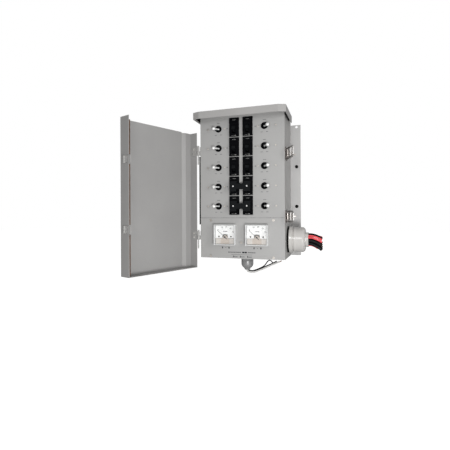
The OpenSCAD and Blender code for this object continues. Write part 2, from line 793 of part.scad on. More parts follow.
back_plate();
cabinet_shell();
rain_hood();
switch_panel();
meter_panel();
panel_screws();
switch_screws();
toggle_plates();
toggle_bodies();
breaker_bodies();
breaker_bracket();
meter_bases();
meter_covers();
meter_dials();
meter_bosses();
terminal_bars();
bar_screws();
hub_gasket();
hub_body();
hub_bush();
locknuts();
grip_body();
grip_nut();
hinge_leaves();
latch_bases();
edge_strip();
lever_upper();
bail_upper();
lever_lower();
bail_lower();
hinge_pins();
door_panel();
door_leaves();
door_keepers();
door_screws();
toggle_1();
toggle_2();
toggle_3();
toggle_4();
toggle_5();
toggle_6();
toggle_7();
toggle_8();
toggle_9();
toggle_10();
handle_1();
handle_2();
handle_3();
handle_4();
handle_5();
handle_6();
tied_handles_1();
tied_handles_2();
needle_left();
needle_right();
wire_black();
wire_red_upper();
wire_red_lower();
lead_white();
lead_black();
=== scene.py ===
import math

import bmesh
import bpy
from mathutils import Matrix, Vector


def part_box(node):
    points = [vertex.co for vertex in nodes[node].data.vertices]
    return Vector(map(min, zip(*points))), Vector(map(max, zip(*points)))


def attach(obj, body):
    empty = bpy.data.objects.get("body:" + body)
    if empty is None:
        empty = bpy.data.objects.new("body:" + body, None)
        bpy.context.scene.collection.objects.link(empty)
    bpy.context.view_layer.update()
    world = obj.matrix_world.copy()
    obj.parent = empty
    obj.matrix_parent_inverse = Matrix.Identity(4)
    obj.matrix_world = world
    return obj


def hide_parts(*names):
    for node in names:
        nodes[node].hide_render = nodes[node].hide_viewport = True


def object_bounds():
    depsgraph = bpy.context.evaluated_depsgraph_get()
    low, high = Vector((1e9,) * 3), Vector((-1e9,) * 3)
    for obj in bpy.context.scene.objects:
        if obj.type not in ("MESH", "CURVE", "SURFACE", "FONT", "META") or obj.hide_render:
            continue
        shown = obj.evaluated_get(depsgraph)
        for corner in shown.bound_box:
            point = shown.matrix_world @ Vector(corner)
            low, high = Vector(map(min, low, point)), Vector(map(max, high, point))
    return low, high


MM = 0.001

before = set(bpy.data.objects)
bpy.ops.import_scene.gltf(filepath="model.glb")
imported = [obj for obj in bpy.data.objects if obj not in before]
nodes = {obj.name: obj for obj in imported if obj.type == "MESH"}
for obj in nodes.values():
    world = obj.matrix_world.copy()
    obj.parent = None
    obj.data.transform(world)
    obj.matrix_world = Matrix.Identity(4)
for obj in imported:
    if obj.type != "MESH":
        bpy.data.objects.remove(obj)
cad_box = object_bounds()
scene = bpy.context.scene

# ---------- camera ----------

CAM_PLACE = Vector((0.2232, -1.0561, -0.0698))
CAM_YAW = 19.57
CAM_ROLL = -0.24
LENS = 30.79
SHIFT = (0.0547, -0.0239)


def make_camera():
    """The main view: the place, turn, lens and shift named above."""
    data = bpy.data.cameras.new("view_camera")
    data.sensor_width = 36
    data.lens = LENS
    data.shift_x, data.shift_y = SHIFT
    cam = bpy.data.objects.new("view_camera", data)
    turn = (
        Matrix.Rotation(math.radians(CAM_YAW), 4, "Z")
        @ Matrix.Rotation(math.radians(90), 4, "X")
        @ Matrix.Rotation(math.radians(CAM_ROLL), 4, "Z")
    )
    cam.matrix_world = Matrix.Translation(CAM_PLACE) @ turn
    scene.collection.objects.link(cam)
    scene.camera = cam


make_camera()

# ---------- materials ----------


class Look:
    """A material being wired: its node tree and its shader."""

    def __init__(self, name):
        self.m = bpy.data.materials.new(name)
        self.m.use_nodes = True
        self.t = self.m.node_tree
        self.shader = self.t.nodes["Principled BSDF"]
        self.coord = self.t.nodes.new("ShaderNodeTexCoord")

    def link(self, a, b):
        self.t.links.new(a, b)

    def fix(self, socket, value):
        self.shader.inputs[socket].default_value = value

    def drive(self, socket, output):
        self.link(output, self.shader.inputs[socket])

    def noise(self, scale, detail=3.0, rough=0.55, stretch=None):
        n = self.t.nodes.new("ShaderNodeTexNoise")
        n.inputs["Scale"].default_value = scale
        n.inputs["Detail"].default_value = detail
        n.inputs["Roughness"].default_value = rough
        source = self.coord.outputs["Object"]
        if stretch:
            mapping = self.t.nodes.new("ShaderNodeMapping")
            mapping.inputs["Scale"].default_value = stretch
            self.link(source, mapping.inputs["Vector"])
            source = mapping.outputs["Vector"]
        self.link(source, n.inputs["Vector"])
        return n.outputs["Fac"]

    def ramp(self, fac, stops):
        r = self.t.nodes.new("ShaderNodeValToRGB")
        r.color_ramp.elements[0].position = stops[0][0]
        r.color_ramp.elements[0].color = (*stops[0][1], 1)
        r.color_ramp.elements[1].position = stops[-1][0]
        r.color_ramp.elements[1].color = (*stops[-1][1], 1)
        self.link(fac, r.inputs["Fac"])
        return r.outputs["Color"]

    def span(self, fac, low, high, start=0.3, end=0.7):
        r = self.t.nodes.new("ShaderNodeMapRange")
        r.inputs["From Min"].default_value = start
        r.inputs["From Max"].default_value = end
        r.inputs["To Min"].default_value = low
        r.inputs["To Max"].default_value = high
        self.link(fac, r.inputs["Value"])
        return r.outputs["Result"]

    def mix(self, fac, a, b):
        """Colour a where fac is 0 and b where it is 1; each is a colour or an output."""
        n = self.t.nodes.new("ShaderNodeMix")
        n.data_type = "RGBA"
        self.link(fac, n.inputs[0])
        for value, socket in ((a, n.inputs[6]), (b, n.inputs[7])):
            if isinstance(value, tuple):
                socket.default_value = (*value, 1)
            else:
                self.link(value, socket)
        return n.outputs[2]

    def bump(self, fac, strength, distance):
        n = self.t.nodes.new("ShaderNodeBump")
        n.inputs["Strength"].default_value = strength
        n.inputs["Distance"].default_value = distance
        self.link(fac, n.inputs["Height"])
        self.link(n.outputs["Normal"], self.shader.inputs["Normal"])

    def edges(self, radius):
        """1 on sharp edges and 0 on flats, from how far the bevelled normal turns away."""
        bevel = self.t.nodes.new("ShaderNodeBevel")
        bevel.samples = 4
        bevel.inputs["Radius"].default_value = radius
        plain = self.t.nodes.new("ShaderNodeNewGeometry")
        dot = self.t.nodes.new("ShaderNodeVectorMath")
        dot.operation = "DOT_PRODUCT"
        self.link(bevel.outputs["Normal"], dot.inputs[0])
        self.link(plain.outputs["Normal"], dot.inputs[1])
        return self.span(dot.outputs["Value"], 1.0, 0.0, 0.80, 0.99)

    def times(self, a, b):
        n = self.t.nodes.new("ShaderNodeMath")
        n.operation = "MULTIPLY"
        self.link(a, n.inputs[0])
        self.link(b, n.inputs[1])
        return n.outputs[0]


def scaled(colour, k):
    return tuple(min(1.0, c * k) for c in colour)


def paint(name, colour, rough=0.42, vary=0.045, peel=0.25, worn=0.35):
    """Powder coat: cloudy tone, orange peel, and edges rubbed a little lighter."""
    look = Look(name)
    tone = look.ramp(
        look.noise(9, 4), [(0.3, scaled(colour, 1 - vary)), (0.7, scaled(colour, 1 + vary))]
    )
    speck = look.noise(420, 2, 0.7)
    tone = look.mix(look.span(speck, 0.0, 0.10, 0.55, 0.75), tone, scaled(colour, 0.62))
    rub = look.times(look.edges(0.0007), look.span(look.noise(60, 4, 0.7), 0.0, worn, 0.42, 0.62))
    look.drive("Base Color", look.mix(rub, tone, scaled(colour, 1.35)))
    look.drive("Roughness", look.span(look.noise(35, 4), rough - 0.06, rough + 0.08))
    look.fix("Specular IOR Level", 0.4)
    look.bump(look.noise(700, 2, 0.5), peel, 0.00006)
    return look.m


def moulded(name, colour, rough=0.4, grain=0.3, vary=0.10, spec=0.5, dust=0.06):
    """Moulded plastic: fine grain, faint flow marks and uneven gloss."""
    look = Look(name)
    flow = look.noise(25, 4, 0.6, (1, 1, 0.3))
    tone = look.ramp(flow, [(0.3, scaled(colour, 1 - vary)), (0.7, scaled(colour, 1 + vary))])
    pale = tuple(min(1.0, c + dust) for c in colour)
    tone = look.mix(look.span(look.noise(180, 5, 0.7), 0.0, 0.25, 0.55, 0.8), tone, pale)
    look.drive("Base Color", tone)
    look.drive("Roughness", look.span(look.noise(90, 4), rough - 0.08, rough + 0.10))
    look.fix("Specular IOR Level", spec)
    look.bump(look.noise(1500, 2), grain, 0.00004)
    return look.m


def metal(name, colour, rough=0.32, brushed=(1, 1, 14), stain=0.25):
    """Plated or bare metal: brushed grain, cloudy stains and worn, brighter edges."""
    look = Look(name)
    cloud = look.noise(120, 5, 0.65)
    tone = look.ramp(cloud, [(0.3, scaled(colour, 1 - stain)), (0.65, colour)])
    edge = look.edges(0.0005)
    tone = look.mix(look.span(edge, 0.0, 0.6, 0.2, 1.0), tone, scaled(colour, 1.15))
    look.drive("Base Color", tone)
    look.fix("Metallic", 1.0)
    grain = look.noise(260, 3, 0.6, brushed)
    look.drive("Roughness", look.span(grain, rough - 0.09, rough + 0.14))
    look.bump(grain, 0.15, 0.00003)
    return look.m


def lever_metal_shaded_foot(name, colour, rough, cut, shade_fade):
    """Plated lever whose foot, from depth cut on, is painted black: painted shade for the foot sunk
    in the bore behind the toggle plate.
    """
    look = Look(name)
    cloud = look.ramp(look.noise(120, 5, 0.65), [(0.3, scaled(colour, 0.94)), (0.65, colour)])
    split = look.t.nodes.new("ShaderNodeSeparateXYZ")
    look.link(look.coord.outputs["Object"], split.inputs["Vector"])
    depth = split.outputs["Y"]
    # Painted shade: past depth cut the base colour turns black and the metal fades out.
    look.drive("Base Color", look.mix(look.span(depth, 0, 1, cut, cut + shade_fade), cloud, (0.004,) * 3))
    look.drive("Metallic", look.span(depth, 0.35, 0, cut, cut + shade_fade))
    look.drive("Roughness", look.span(look.noise(260, 3, 0.6), rough - 0.09, rough + 0.14))
    look.bump(look.noise(260, 3, 0.6, (1, 1, 4)), 0.15, 0.00003)
    return look.m


def rubber(name, colour, spec=0.2):
    """Dull rubber, also used for strips of painted shade: cloudy, with a pebbled skin."""
    look = Look(name)
    cloud = look.noise(140, 5, 0.7)
    tone = look.ramp(cloud, [(0.35, scaled(colour, 0.7)), (0.75, scaled(colour, 1.8))])
    look.drive("Base Color", tone)
    look.drive("Roughness", look.span(look.noise(60, 3), 0.6, 0.8))
    look.fix("Specular IOR Level", spec)
    look.bump(look.noise(900, 3), 0.5, 0.00008)
    return look.m


def jacket(name, colour, rough=0.28, spec=0.4):
    """Wire insulation: smooth skin with long faint draw marks and scuffs."""
    look = Look(name)
    marks = look.noise(300, 3, 0.6, (0.15, 1, 1))
    tone = look.ramp(marks, [(0.3, scaled(colour, 0.82)), (0.7, scaled(colour, 1.12))])
    look.drive("Base Color", tone)
    look.drive("Roughness", look.span(look.noise(150, 4, 0.7), rough - 0.05, rough + 0.15))
    look.fix("Specular IOR Level", spec)
    look.bump(marks, 0.2, 0.00005)
    return look.m


def clear(name, alpha, tint=(0.93, 0.96, 0.96), haze=0.04):
    """Clear acrylic: mostly see-through, with a faint haze of fine scratches."""
    look = Look(name)
    scratch = look.noise(200, 5, 0.7, (1, 1, 6))
    look.drive("Base Color", look.ramp(scratch, [(0.3, scaled(tint, 0.96)), (0.7, tint)]))
    look.drive("Roughness", look.span(scratch, haze, haze + 0.12))
    look.fix("Alpha", alpha)
    look.fix("IOR", 1.49)
    look.m.blend_method = "BLEND"
    return look.m


def card(name, colour, vary=0.03, spec=0.3):
    """Printed card or ink: dull, with paper mottling."""
    look = Look(name)
    stops = [(0.3, scaled(colour, 1 - vary)), (0.7, scaled(colour, 1 + vary))]
    look.drive("Base Color", look.ramp(look.noise(300, 4), stops))
    look.drive("Roughness", look.span(look.noise(500, 2), 0.55, 0.7))
    look.fix("Specular IOR Level", spec)
    look.bump(look.noise(1200, 2), 0.1, 0.00003)
    return look.m


CABINET = paint("cabinet_grey", (0.375, 0.37, 0.36))
# Back plate: a lighter copy of the cabinet's paint, for the light it catches: painted light.
FLANGE_LIT_GREY = paint("flange_grey_painted_light", (0.46, 0.455, 0.45))
HOOD = paint("hood_grey", (0.375, 0.368, 0.36))
# Door panel: a darker copy of the cabinet's paint, for the shade on its inner face: painted shade.
DOOR_SHADED_GREY = paint("door_grey_painted_shade", (0.325, 0.32, 0.315))
PANEL = paint("panel_grey", (0.375, 0.372, 0.366), 0.46, 0.03)
ZINC = metal("zinc_plate", (0.84, 0.83, 0.80), 0.34)
STEEL = metal("latch_plate", (0.50, 0.46, 0.43), 0.36)
# Latch base plates darkened so the slot inside each bail reads dark: painted shade.
LATCH_BASE_SHADE = metal("latch_base_painted_shade", (0.24, 0.22, 0.21), 0.5)
BRIGHT = metal("bail_plate", (0.56, 0.545, 0.53), 0.5, (1, 1, 6), 0.15)
SCREW = metal("panel_screw", (0.60, 0.57, 0.53), 0.45)
PANEL_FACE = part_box("switch_panel")[0][1]
# The levers' feet, deeper than the panel face, carry painted shade.
CHROME_PAINTED_SHADE = lever_metal_shaded_foot("lever_chrome_painted_shade", (0.95, 0.95, 0.94), 0.36, PANEL_FACE + 0.0008, 0.0004)
BRASS = metal("screw_brass", (0.78, 0.58, 0.28), 0.3)
ALLOY = metal("bar_alloy", (0.78, 0.78, 0.77), 0.38, (20, 1, 1))
COPPER = metal("bare_copper", (0.62, 0.33, 0.20), 0.35)
BLACK = moulded("black_moulding", (0.0026, 0.0028, 0.0036), 0.5, spec=0.035, dust=0.003)
HANDLE = moulded("handle_moulding", (0.0085, 0.0095, 0.0105), 0.45, 0.2, spec=0.07, dust=0.004)
PIN = card("tie_pin_white", (0.80, 0.80, 0.79), 0.03)
BASE = moulded("meter_base", (0.50, 0.50, 0.49), 0.5, 0.2, 0.04, spec=0.3)
HUB = moulded("hub_moulding", (0.53, 0.515, 0.495), 0.17, 0.06, 0.03, 0.75)
GRIP = moulded("grip_moulding", (0.25, 0.25, 0.252), 0.28, 0.2, 0.06, 0.6)
BOSS = moulded("boss_moulding", (0.50, 0.43, 0.37), 0.4, 0.2, 0.04)
WING = moulded("wing_moulding", (0.58, 0.54, 0.50), 0.4, 0.2, 0.03)
# Black rubber for the hub gasket, edge strip and hole plugs; the same black makes the painted shade
# under the hood.
RUBBER_AND_SHADE = rubber("black_rubber_and_shade", (0.006, 0.006, 0.006), 0.06)
# Grey for the strip in the panel joint: painted shade.
SEAM_SHADE = rubber("seam_painted_shade", (0.20, 0.20, 0.20))
# Dark brown for the strip behind the door's free flange: painted shade.
BROWN_SHADE = rubber("brown_painted_shade", (0.085, 0.045, 0.028))
GLASS = clear("acrylic", 0.06)
# Pale, nearly opaque frame on the meter covers' edges: painted highlight.
GLASS_EDGE_HIGHLIGHT = clear("acrylic_edge_painted_highlight", 0.72, (0.93, 0.935, 0.93), 0.2)
DIAL = card("dial_card", (0.93, 0.93, 0.92))
INK = card("dark_ink", (0.02, 0.02, 0.024), 0.2)
SOFT_INK = card("grey_ink", (0.10, 0.10, 0.105), 0.2)
PALE_INK = card("pale_ink", (0.30, 0.30, 0.29), 0.08)
NEEDLE = card("needle_black", (0.03, 0.03, 0.03), 0.2)
BLACK_WIRE = jacket("black_insulation", (0.0045, 0.0045, 0.0055), 0.34, 0.16)
RED_WIRE = jacket("red_insulation", (0.80, 0.085, 0.10), 0.38)
WHITE_WIRE = jacket("white_insulation", (0.66, 0.655, 0.64), 0.36)

LOOKS = {
    "back_plate": FLANGE_LIT_GREY,
    "cabinet_shell": CABINET,
    "rain_hood": HOOD,
    "switch_panel": PANEL,
    "meter_panel": PANEL,
    "panel_screws": SCREW,
    "switch_screws": SCREW,
    "toggle_plates": BLACK,
    "toggle_bodies": BLACK,
    "breaker_bodies": BLACK,
    "breaker_bracket": ZINC,
    "meter_bases": BASE,
    "meter_covers": GLASS,
    "meter_dials": DIAL,
    "meter_bosses": BOSS,
    "terminal_bars": ALLOY,
    "bar_screws": BRASS,
    "hub_gasket": RUBBER_AND_SHADE,
    "hub_body": HUB,
    "hub_bush": HUB,
    "locknuts": ZINC,
    "grip_body": GRIP,
    "grip_nut": GRIP,
    "hinge_leaves": CABINET,
    "latch_bases": LATCH_BASE_SHADE,
    "edge_strip": RUBBER_AND_SHADE,
    "lever_upper": STEEL,
    "bail_upper": BRIGHT,
    "lever_lower": STEEL,
    "bail_lower": BRIGHT,
    "hinge_pins": CABINET,
    "door_panel": DOOR_SHADED_GREY,
    "door_leaves": CABINET,
    "door_keepers": CABINET,
    "door_screws": ZINC,
    "needle_left": NEEDLE,
    "needle_right": NEEDLE,
}
# Edge rounding in millimetres.
BEVELS = {
    "back_plate": 0.3,
    "cabinet_shell": 0.9,
    "rain_hood": 0.9,
    "switch_panel": 0.35,
    "meter_panel": 0.35,
    "door_panel": 0.8,
    "breaker_bodies": 0.5,
    "meter_bases": 0.4,
    "meter_covers": 0.8,
    "hinge_leaves": 0.3,
    "door_leaves": 0.3,
    "door_keepers": 0.3,
    "latch_bases": 0.3,
    "grip_body": 0.5,
    "hub_bush": 0.2,
    "terminal_bars": 0.4,
    "toggle_plates": 0.25,
}


def repaint(node, look):
    for s in nodes[node].material_slots:
        s.link = "OBJECT"
        s.material = look


def soften(piece, width, segments=2):
    m = piece.modifiers.new("edge", "BEVEL")
    m.width = width * MM
    m.segments = segments
    m.limit_method = "ANGLE"
    m.angle_limit = math.radians(35)


for name in nodes:
    if name.startswith("toggle_") and name not in LOOKS:
        repaint(name, CHROME_PAINTED_SHADE)
    elif "handle" in name:
        repaint(name, HANDLE)
        soften(nodes[name], 0.6, 3)
    elif name in LOOKS:
        repaint(name, LOOKS[name])
    if name in BEVELS:
        soften(nodes[name], BEVELS[name])

# ---------- piece helpers ----------


def new_piece(name, bm, look, body="cabinet", bevel=0.0):
    """A flat-shaded piece that rides on a body; bevel rounds its edges, in millimetres."""
    mesh = bpy.data.meshes.new(name)
    bmesh.ops.recalc_face_normals(bm, faces=bm.faces)
    bm.to_mesh(mesh)
    bm.free()
    for p in mesh.polygons:
        p.use_smooth = False
    mesh.materials.append(look)
    o = bpy.data.objects.new(name, mesh)
    scene.collection.objects.link(o)
    if bevel:
        soften(o, bevel)
    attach(o, body)
    return o


def add_box(bm, low, high, turn=None, about=None):
    """A closed box between two corners, turned about a point when turn is given."""
    made = bmesh.ops.create_cube(bm, size=1)["verts"]
    mid = (Vector(low) + Vector(high)) / 2
    size = Vector(high) - Vector(low)
    for v in made:
        v.co = Vector((v.co.x * size.x, v.co.y * size.y, v.co.z * size.z)) + mid
        if turn is not None:
            v.co = turn @ (v.co - about) + about


ALONG_Y = Matrix.Rotation(math.pi / 2, 4, "X")


def add_disc(bm, centre, radius, depth, far=None):
    """A short closed cylinder along Y; far is the radius of its other end."""
    bmesh.ops.create_cone(
        bm,
        cap_ends=True,
        segments=32,
        radius1=radius,
        radius2=radius if far is None else far,
        depth=depth,
        matrix=Matrix.Translation(centre) @ ALONG_Y,
    )


# ---------- cords ----------


def smooth_line(route, steps):
    """A smooth line through the route's points, each stretch cut into steps."""
    p = [Vector(q) * MM for q in route]
    p = [2 * p[0] - p[1], *p, 2 * p[-1] - p[-2]]
    line = []
    for i in range(1, len(p) - 2):
        a, b, c, d = p[i - 1 : i + 3]
        for j in range(steps):
            t = j / steps
            turn = (2 * a - 5 * b + 4 * c - d) * t * t + (3 * b - a - 3 * c + d) * t**3
            line.append(0.5 * (2 * b + (c - a) * t + turn))
    return [*line, p[-2]]


# Each ring of strands: its place as a share of the core's radius, and how many strands.
STRAND_RINGS = ((0.0, 1), (0.36, 6), (0.72, 12))
STRAND_FOOT = 0.095
STRAND_TIP = 0.085
STRAND_BURIED = 0.8


def strands(name, end, ahead, core, bare):
    """The bare strands of a conductor: how far they stand out of the jacket is bare."""
    bm = bmesh.new()
    aim = ahead.to_track_quat("Z", "Y").to_matrix().to_4x4()
    middle = end + ahead * (bare - STRAND_BURIED) / 2 * MM
    for share, n in STRAND_RINGS:
        for k in range(n):
            a = 2 * math.pi * k / n
            side = Vector((math.cos(a), math.sin(a), 0)) * share * core * MM / 2
            bmesh.ops.create_cone(
                bm,
                cap_ends=True,
                segments=8,
                radius1=core * MM * STRAND_FOOT,
                radius2=core * MM * STRAND_TIP,
                depth=(bare + STRAND_BURIED) * MM,
                matrix=Matrix.Translation(middle) @ aim @ Matrix.Translation(side),
            )
    return new_piece(name, bm, COPPER)


def wire(name, node, route, kind):
    """A cut conductor: its insulation as a curve, and the bare strands at its end."""
    line = smooth_line(route, 6)
    data = bpy.data.curves.new(name, "CURVE")
    data.dimensions = "3D"
    data.bevel_depth = kind["d"] * MM / 2
    data.bevel_resolution = 5
    data.use_fill_caps = True
    spline = data.splines.new("POLY")
    spline.points.add(len(line) - 1)
    for point, q in zip(spline.points, line):
        point.co = (*q, 1)
    spline.use_smooth = True
    data.materials.append(kind["look"])
    o = bpy.data.objects.new(name, data)
    scene.collection.objects.link(o)
    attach(o, "cabinet")
    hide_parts(node)
    ahead = (line[-1] - line[-2]).normalized()
    tip = strands(name + "_strands", line[-1], ahead, kind["core"], kind["bare"])


def cable(d, core, bare, stiffness, look, slot):
    """A kind of conductor: across its skin, across its core and its bare end, in millimetres."""
    return {"d": d, "core": core, "bare": bare, "stiffness": stiffness, "look": look, "slot": slot}


BIG_BLACK = cable(8.2, 5.2, 0.3, "stiff", BLACK_WIRE, "wire_black")
BIG_RED = cable(4.4, 2.7, 0.3, "stiff", RED_WIRE, "wire_red")
WHITE_LEAD = cable(4.4, 2.6, 5, "medium", WHITE_WIRE, "wire_white")
BLACK_LEAD = cable(2.8, 1.6, 0.8, "medium", BLACK_WIRE, "wire_black")
# Name, CAD node it replaces, kind of conductor, and the route in millimetres.
CONDUCTORS = [
    (
        "conductor_black_1",
        "wire_black",
        BIG_BLACK,
        [
            (134, -65, -122),
            (157, -65, -122),
            (165, -65, -122.5),
            (173, -65, -124.5),
            (181, -65, -128),
            (188, -65, -132),
        ],
    ),
    (
        "conductor_black_2",
        "wire_black",
        BIG_BLACK,
        [
            (134, -75, -135.5),
            (157, -75, -135.5),
            (165, -75, -136.5),
            (173, -75, -139),
            (181, -75, -143),
            (188, -75, -148),
        ],
    ),
    (
        "conductor_black_3",
        "wire_black",
        BIG_BLACK,
        [
            (134, -65.5, -131.5),
            (157, -65.5, -131.5),
            (165, -65.5, -132),
            (173, -65.5, -134.5),
            (181, -65.5, -138),
            (188, -65.5, -142.5),
        ],
    ),
    (
        "conductor_black_4",
        "wire_black",
        BIG_BLACK,
        [
            (134, -72, -143.5),
            (157, -72, -143.5),
            (165, -72, -144.5),
            (173, -72, -148),
            (181, -72, -152.5),
            (188, -72, -158),
        ],
    ),
    (
        "conductor_black_5",
        "wire_black",
        BIG_BLACK,
        [
            (134, -62, -140.5),
            (157, -62, -140.5),
            (165, -62, -141.5),
            (173, -62, -144),
            (181, -62, -149),
            (188, -62, -154),
        ],
    ),
    (
        "conductor_red_1",
        "wire_red_upper",
        BIG_RED,
        [
            (134, -72.5, -124),
            (157, -72.5, -124),
            (165, -72.5, -124.5),
            (173, -72.5, -126.5),
            (181, -72.5, -130),
            (188, -72.5, -134),
        ],
    ),
    (
        "conductor_red_2",
        "wire_red_upper",
        BIG_RED,
        [
            (134, -76, -128.5),
            (157, -76, -128.5),
            (165, -76, -129),
            (173, -76, -131.5),
            (181, -76, -135),
            (188, -76, -139.5),
        ],
    ),
    (
        "conductor_red_3",
        "wire_red_upper",
        BIG_RED,
        [
            (134, -57.5, -126.5),
            (157, -57.5, -126.5),
            (165, -57.5, -126),
            (173, -57.5, -126),
            (181, -57.5, -126.5),
            (188, -57.5, -128),
        ],
    ),
    (
        "conductor_red_4",
        "wire_red_lower",
        BIG_RED,
        [
            (134, -66, -147.5),
            (157, -66, -147.5),
            (163, -66, -148),
            (168, -66, -149.5),
            (173, -66, -152),
            (178, -66, -155.5),
        ],
    ),
    (
        "supply_lead_white",
        "lead_white",
        WHITE_LEAD,
        [
            (1.5, -69.5, -208),
            (1.5, -69.5, -215.5),
            (5, -70, -219),
            (13, -70.5, -220),
            (24, -71, -218.5),
            (40, -71, -212),
            (56, -71, -204.5),
            (71, -71, -197),
            (86, -71, -190.5),
        ],
    ),
    (
        "supply_lead_hooked",
        "lead_black",
        BLACK_LEAD,
        [
            (3.5, -65.5, -208),
            (3.5, -65.5, -214.5),
            (8, -65, -217),
            (16, -65, -217),
            (25, -65, -214),
            (34, -65.5, -210),
            (43, -65.5, -205),
            (49, -66, -199),
            (54, -66.5, -192),
            (59, -67, -188.5),
            (64, -67, -190.5),
            (68, -67, -196),
        ],
    ),
    (
        "supply_lead_back",
        "lead_black",
        BLACK_LEAD,
        [
            (-1, -65.5, -208),
            (-1, -65.5, -214.5),
            (1, -63.5, -218),
            (6, -62, -219.5),
            (14, -61.5, -219),
            (26, -61.5, -215),
            (40, -61.5, -209),
            (54, -62.5, -202.5),
            (66, -63.5, -196.5),
            (77, -64.5, -190.5),
        ],
    ),
]
for name, node, kind, route in CONDUCTORS:
    wire(name, node, route, kind)

# ---------- places taken from the frame ----------

panel_low, panel_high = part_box("switch_panel")
meter_panel_low, meter_panel_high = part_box("meter_panel")
FACE_Y = panel_low[1]
HALF_W = panel_high[0]
BOTTOM = meter_panel_low[2]
plates_low, plates_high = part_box("toggle_plates")
PLATE_R = 8.4 * MM
TOGGLE_X = plates_high[0] - PLATE_R
TOGGLE_TOP = plates_high[2] - PLATE_R
ROW = (plates_high[2] - plates_low[2] - 2 * PLATE_R) / 4
breakers_low, breakers_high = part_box("breaker_bodies")
BREAKER_W = 24.6 * MM
BREAKER_X = breakers_high[0] - BREAKER_W / 2
CELL_H = breakers_high[2] - breakers_low[2] - 4 * ROW
CELL_TOP = breakers_high[2] - CELL_H / 2
BREAKER_FACE = breakers_low[1] + 4 * MM
covers_low, covers_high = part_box("meter_covers")
METER_W = 54 * MM
METER_X = covers_high[0] - METER_W / 2
METER_Z = (covers_low[2] + covers_high[2]) / 2
METER_H = covers_high[2] - covers_low[2]
PIVOT_Z = METER_Z - 6 * MM
DIAL_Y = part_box("meter_dials")[0][1]
BOSS_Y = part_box("meter_bosses")[0][1]
INK_T = 0.12 * MM

# ---------- printed marks ----------


def mark(bm, x, z, w, h, y=FACE_Y):
    """A printed block, its middle at x, z on the face at y; all in metres but w and h."""
    w, h = w * MM, h * MM
    add_box(bm, (x - w / 2, y - INK_T, z - h / 2), (x + w / 2, y + 0.02 * MM, z + h / 2))


def word(bm, x, z, widths, h, gap=0.5, y=FACE_Y):
    """A row of blocks of the given widths, centred on x: stands for small print."""
    total = sum(widths) + gap * (len(widths) - 1)
    at = -total / 2
    for w in widths:
        mark(bm, x + (at + w / 2) * MM, z, w, h, y)
        at += w + gap


ROWS = 5
ON_TOP = 14.6
BELOW = 14.8
ASIDE = 6.6
LETTER_IN = 22.6


def make_switch_marks():
    """Print above and below each toggle, and a letter between it and the breakers."""
    bm = bmesh.new()
    for side in (-1, 1):
        for k in range(ROWS):
            x, z = side * TOGGLE_X, TOGGLE_TOP - k * ROW
            word(bm, x, z + ON_TOP * MM, (1.5, 1.2, 1.6, 1.3), 1.5)
            word(bm, x - ASIDE * MM, z - BELOW * MM, (1.3, 1.1, 1.4), 1.4)
            word(bm, x + ASIDE * MM, z - BELOW * MM, (1.2, 1.5, 1.1), 1.4)
            letter_x = side * (TOGGLE_X - LETTER_IN * MM)
            mark(bm, letter_x - 0.9 * MM, z, 0.8, 3.0)
            mark(bm, letter_x + 0.9 * MM, z, 0.8, 3.0)
            mark(bm, letter_x, z + (0.9 if k % 2 else 0) * MM, 1.6, 0.8)
    new_piece("switch_marks", bm, SOFT_INK)


def make_breaker_marks():
    """Dim frame at the top and pale print at the bottom of each breaker's face."""
    bm = bmesh.new()
    for side in (-1, 1):
        for k in range(ROWS):
            x, z = side * BREAKER_X, CELL_TOP - k * ROW
            top = z + CELL_H / 2 - 5.2 * MM
            for dz in (-0.6, 0.6):
                mark(bm, x, top + dz * MM, 7.6, 0.3, BREAKER_FACE)
            for dx in (-3.8, -1.2, 1.2, 3.8):
                mark(bm, x + dx * MM, top, 0.4, 1.4, BREAKER_FACE)
            low = z - CELL_H / 2 + 2.4 * MM
            word(bm, x - 3.4 * MM, low, (1.4, 0.8, 1.6), 0.7, 0.6, BREAKER_FACE)
            word(bm, x + 3.4 * MM, low + 0.2 * MM, (1.2, 2.4), 1.6, 0.4, BREAKER_FACE)
    new_piece("breaker_marks", bm, PALE_INK)


SMALL_MARKS_X = (-20.5, -2.5, 15.5)
LINE_UP = 15.5


def make_panel_print():
    """Small print under the meters and the two lines at the bottom, as plain blocks."""
    bm = bmesh.new()
    for side in (-1, 1):
        x, z = side * METER_X, covers_low[2] - 7 * MM
        mark(bm, x - 8.4 * MM, z, 2.4, 4.4)
        mark(bm, x + 8.4 * MM, z, 2.6, 4.4)
        mark(bm, x, z, 2.2, 1.0)
    line_z = BOTTOM + LINE_UP * MM
    mark(bm, 4.6 * MM, line_z, 5.6, 3.6)
    mark(bm, 11.0 * MM, line_z, 5.6, 3.6)
    for x in SMALL_MARKS_X:
        mark(bm, x * MM, line_z - 10.4 * MM, 2.0, 4.2)
    new_piece("panel_marks", bm, INK)
    bm = bmesh.new()
    word(bm, -17.6 * MM, line_z, (3.4, 1.8, 2.4, 2.0, 1.8, 2.6, 1.8, 2.2, 2.6, 1.8, 2.6), 2.4, 0.7)
    word(bm, 25.6 * MM, line_z, (2.8, 1.8, 2.2, 1.6, 2.4, 1.8, 2.0), 2.4, 0.7)
    mark(bm, 0.5 * MM, line_z - 5.6 * MM, 52, 0.7)
    for x in SMALL_MARKS_X:
        word(bm, (x + 6.2) * MM, line_z - 11.0 * MM, (1.9, 1.6, 2.0, 1.4), 2.0, 0.6)
    new_piece("panel_small_print", bm, SOFT_INK)


make_switch_marks()
make_breaker_marks()
make_panel_print()

# ---------- meters ----------

